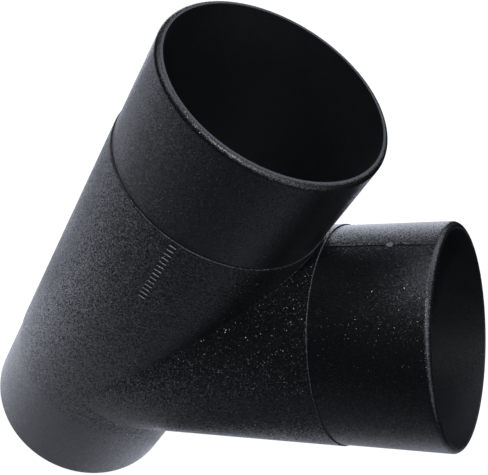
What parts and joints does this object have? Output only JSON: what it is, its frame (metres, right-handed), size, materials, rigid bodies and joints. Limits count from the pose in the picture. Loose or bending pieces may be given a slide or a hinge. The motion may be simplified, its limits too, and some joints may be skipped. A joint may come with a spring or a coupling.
{
  "type": "branch fitting",
  "caption": "Equal 45 degree branch fitting for ducting: straight run with a plain cuff at each end and one branch leg of the same bore, with stepped collar lines and mitred barrels.",
  "frame": {"origin": "centre of the lower mouth, on the plane the fitting stands on", "axes": "+Z along the straight run from the lower mouth to the upper one, +X towards the side the branch leg leaves on, +Y square to both"},
  "size_m": [0.2097, 0.1016, 0.251],
  "materials": {
    "textured_plastic": "spark-eroded texture, matt",
    "smooth_plastic": "fine even grain, satin"
  },
  "bodies": {
    "root": {"run_barrel": "textured_plastic", "branch_barrel": "textured_plastic", "lower_cuff": "smooth_plastic", "upper_cuff": "smooth_plastic", "branch_cuff": "smooth_plastic", "index_ticks": "textured_plastic", "gate_mark": "smooth_plastic"}
  },
  "joints": []
}
